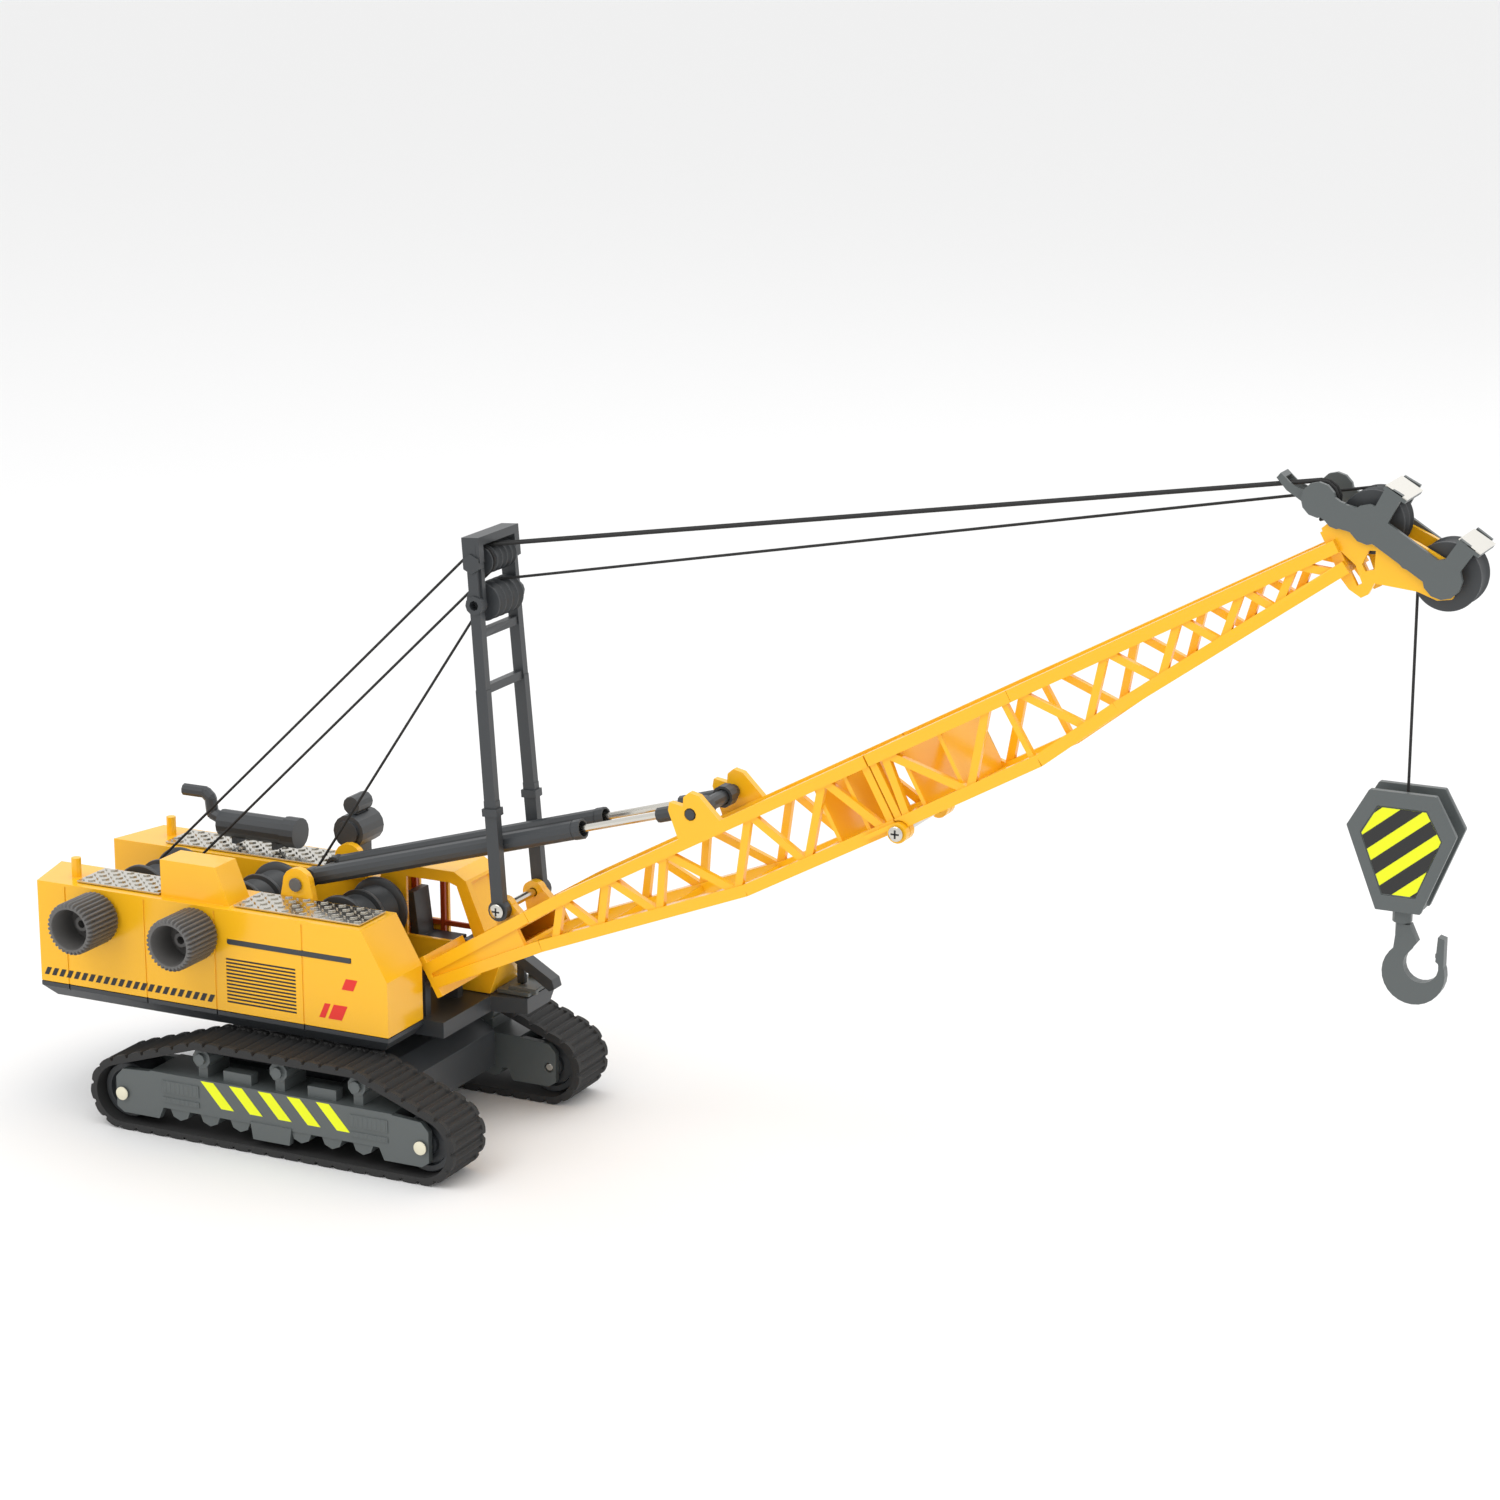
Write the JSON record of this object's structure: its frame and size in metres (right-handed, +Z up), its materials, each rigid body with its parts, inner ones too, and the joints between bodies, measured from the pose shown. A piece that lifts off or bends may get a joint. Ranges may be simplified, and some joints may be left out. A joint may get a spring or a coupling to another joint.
{
  "type": "lattice boom crawler crane",
  "caption": "Toy crawler crane with a folding lattice boom, a leaning mast, luffing cylinders, knob-driven winch drums, a turning house and a hook block on a rope.",
  "frame": {"origin": "centre of the crane's own box in plan, at the ground under the tracks", "axes": "+X is the way the boom points, +Y is to the crane's left, +Z is up"},
  "size_m": [0.5358, 0.1174, 0.2712],
  "materials": {
    "yellow_plastic": "gloss",
    "grey_plastic": "satin",
    "knob_plastic": "satin",
    "black_plastic": "satin",
    "rubber": "matte",
    "rope_fibre": "matte",
    "bright_metal": "gloss"
  },
  "bodies": {
    "undercarriage": {"chassis": "black_plastic", "track_frame_right": "grey_plastic", "track_frame_left": "grey_plastic", "belt_right": "rubber", "belt_left": "rubber", "axle_front_right": "bright_metal", "axle_rear_right": "bright_metal", "axle_front_left": "bright_metal", "axle_rear_left": "bright_metal"},
    "wheel_front_right_body": {"wheel_front_right": "black_plastic"},
    "wheel_rear_right_body": {"wheel_rear_right": "black_plastic"},
    "wheel_front_left_body": {"wheel_front_left": "black_plastic"},
    "wheel_rear_left_body": {"wheel_rear_left": "black_plastic"},
    "house": {"deck": "black_plastic", "housing_right": "yellow_plastic", "housing_left": "yellow_plastic", "tread_right_rear": "bright_metal", "tread_right_front": "bright_metal", "tread_left": "bright_metal", "muffler": "black_plastic", "air_cleaner": "black_plastic", "cab": "yellow_plastic", "seat": "black_plastic", "walkway": "grey_plastic", "bumper_arm": "black_plastic", "cylinder_pin": "knob_plastic", "boom_foot_pin": "bright_metal"},
    "winch_rear": {"knob_rear": "knob_plastic", "drum_rear": "black_plastic"},
    "winch_front": {"knob_front": "knob_plastic", "drum_front": "black_plastic"},
    "winch_idle": {"drum_idle": "black_plastic"},
    "lower_boom": {"boom_lower": "yellow_plastic", "rod_pin": "black_plastic", "fold_pin": "bright_metal", "mast_pin": "bright_metal"},
    "upper_boom": {"boom_upper": "yellow_plastic", "head_plate_right": "grey_plastic", "head_plate_left": "grey_plastic"},
    "mast_body": {"mast": "black_plastic", "rope_hoist": "rope_fibre", "rope_pendant": "rope_fibre", "rope_luffing": "rope_fibre", "rope_front": "rope_fibre"},
    "mast_sheave_large_body": {"mast_sheave_large": "black_plastic"},
    "mast_sheave_small_body": {"mast_sheave_small": "black_plastic"},
    "sheave_rear_body": {"sheave_rear": "black_plastic"},
    "sheave_mid_body": {"sheave_mid": "black_plastic"},
    "sheave_tip_body": {"sheave_tip": "black_plastic"},
    "barrels": {"barrel_right": "black_plastic", "barrel_left": "black_plastic"},
    "rods": {"rod_right": "bright_metal", "rod_left": "bright_metal", "rod_end_right": "black_plastic", "rod_end_left": "black_plastic"},
    "hook_block": {"block_right": "grey_plastic", "block_left": "grey_plastic"},
    "block_sheave_body": {"block_sheave": "black_plastic"},
    "hook_body": {"hook": "grey_plastic"},
    "hook_rope": {"rope_hook": "rope_fibre"}
  },
  "joints": [
    {"name": "turn_front_wheel_right", "type": "hinge", "parent": "undercarriage", "child": "wheel_front_right_body", "pos_m": [-0.08845, -0.04475, 0.014], "axis": [0, -1, 0], "continuous": true},
    {"name": "turn_rear_wheel_right", "type": "hinge", "parent": "undercarriage", "child": "wheel_rear_right_body", "pos_m": [-0.21545, -0.04475, 0.014], "axis": [0, -1, 0], "continuous": true},
    {"name": "turn_front_wheel_left", "type": "hinge", "parent": "undercarriage", "child": "wheel_front_left_body", "pos_m": [-0.08845, 0.04725, 0.014], "axis": [0, -1, 0], "continuous": true},
    {"name": "turn_rear_wheel_left", "type": "hinge", "parent": "undercarriage", "child": "wheel_rear_left_body", "pos_m": [-0.21545, 0.04725, 0.014], "axis": [0, -1, 0], "continuous": true},
    {"name": "slew", "type": "hinge", "parent": "undercarriage", "child": "house", "pos_m": [-0.15195, 0.00125, 0.04], "axis": [0, 0, 1], "continuous": true},
    {"name": "turn_rear_winch", "type": "hinge", "parent": "house", "child": "winch_rear", "pos_m": [-0.23395, 0.00125, 0.075], "axis": [0, -1, 0], "continuous": true},
    {"name": "turn_front_winch", "type": "hinge", "parent": "house", "child": "winch_front", "pos_m": [-0.19045, 0.00125, 0.075], "axis": [0, -1, 0], "continuous": true},
    {"name": "turn_idle_drum", "type": "hinge", "parent": "house", "child": "winch_idle", "pos_m": [-0.14645, 0.00125, 0.075], "axis": [0, -1, 0], "continuous": true},
    {"name": "luff_boom", "type": "hinge", "parent": "house", "child": "lower_boom", "pos_m": [-0.11595, 0.00125, 0.058], "axis": [0, -1, 0], "range_deg": [-6, 31], "deforming": ["rope_luffing", "rope_front"]},
    {"name": "fold_boom", "type": "hinge", "parent": "lower_boom", "child": "upper_boom", "pos_m": [0.07781, 0.00125, 0.14147], "axis": [0, -1, 0], "range_deg": [-114, 0]},
    {"name": "lean_mast", "type": "hinge", "parent": "lower_boom", "child": "mast_body", "pos_m": [-0.07885, 0.00125, 0.0914], "axis": [0, -1, 0], "range_deg": [-30, 20], "deforming": ["rope_hoist", "rope_pendant"]},
    {"name": "turn_mast_sheave_large", "type": "hinge", "parent": "mast_body", "child": "mast_sheave_large_body", "pos_m": [-0.08694, 0.00125, 0.20161], "axis": [0, -1, 0], "continuous": true},
    {"name": "turn_mast_sheave_small", "type": "hinge", "parent": "mast_body", "child": "mast_sheave_small_body", "pos_m": [-0.08802, 0.00125, 0.21627], "axis": [0, -1, 0], "continuous": true},
    {"name": "turn_sheave_rear", "type": "hinge", "parent": "upper_boom", "child": "sheave_rear_body", "pos_m": [0.21572, 0.00125, 0.26487], "axis": [0, -1, 0], "continuous": true},
    {"name": "turn_sheave_mid", "type": "hinge", "parent": "upper_boom", "child": "sheave_mid_body", "pos_m": [0.23212, 0.00125, 0.25848], "axis": [0, -1, 0], "continuous": true},
    {"name": "turn_sheave_tip", "type": "hinge", "parent": "upper_boom", "child": "sheave_tip_body", "pos_m": [0.25644, 0.00125, 0.24332], "axis": [0, -1, 0], "continuous": true},
    {"name": "tilt_cylinders", "type": "hinge", "parent": "house", "child": "barrels", "pos_m": [-0.16155, 0.00125, 0.091], "axis": [0, -1, 0], "range_deg": [-8, 30]},
    {"name": "tilt_rods", "type": "hinge", "parent": "lower_boom", "child": "rods", "pos_m": [-0.00072, 0.00125, 0.13755], "axis": [0, -1, 0], "range_deg": [-8, 5]},
    {"name": "lift_hook", "type": "slide", "parent": "hook_rope", "child": "hook_block", "axis": [0, 0, 1], "range_m": [-0.09, 0.03], "deforming": ["rope_hook"]},
    {"name": "turn_block_sheave", "type": "hinge", "parent": "hook_block", "child": "block_sheave_body", "pos_m": [0.24604, 0.00125, 0.1586], "axis": [0, -1, 0], "continuous": true},
    {"name": "swivel_hook", "type": "hinge", "parent": "hook_block", "child": "hook_body", "pos_m": [0.24604, 0.00125, 0.131], "axis": [0, 0, 1], "continuous": true},
    {"name": "swing_hook", "type": "hinge", "parent": "upper_boom", "child": "hook_rope", "pos_m": [0.25644, 0.00125, 0.24332], "axis": [0, 1, 0], "range_deg": [-120, 31]}
  ],
  "couplings": [
    {"joint": "tilt_cylinders", "follows": "luff_boom", "ratio": 0.85},
    {"joint": "tilt_rods", "follows": "luff_boom", "ratio": -0.15},
    {"joint": "turn_front_wheel_right", "follows": "turn_rear_wheel_right", "ratio": 1},
    {"joint": "turn_front_wheel_left", "follows": "turn_rear_wheel_left", "ratio": 1}
  ]
}
